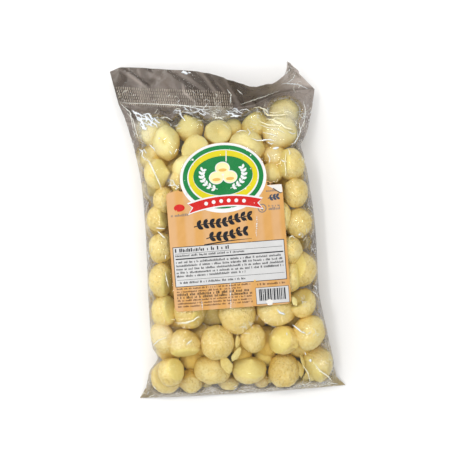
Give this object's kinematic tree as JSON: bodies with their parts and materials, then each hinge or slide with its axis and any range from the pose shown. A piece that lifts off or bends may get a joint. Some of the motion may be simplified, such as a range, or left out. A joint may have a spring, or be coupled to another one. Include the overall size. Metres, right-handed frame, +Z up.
{
  "type": "bag of cheese puffs",
  "caption": "Clear sealed pillow bag of small round pale-yellow cheese breads, lying on its back, with a crimped header, a twisted upper corner and a square sticker with an oval crest.",
  "frame": {"origin": "on the surface that the bag rests on, under the middle of its outline", "axes": "+Z up out of the labelled side, +Y along the bag towards its crimped header, +X across it to the right"},
  "size_m": [0.174, 0.2822, 0.0503],
  "materials": {
    "puffs": "dry baked crust, pale yellow with a golden tinge, finely pored",
    "film": "clear crinkled packing film with sharp glints",
    "label": "smooth printed sticker with a slight sheen"
  },
  "bodies": {
    "root": {"bag": "puffs", "label": "label"}
  },
  "joints": []
}
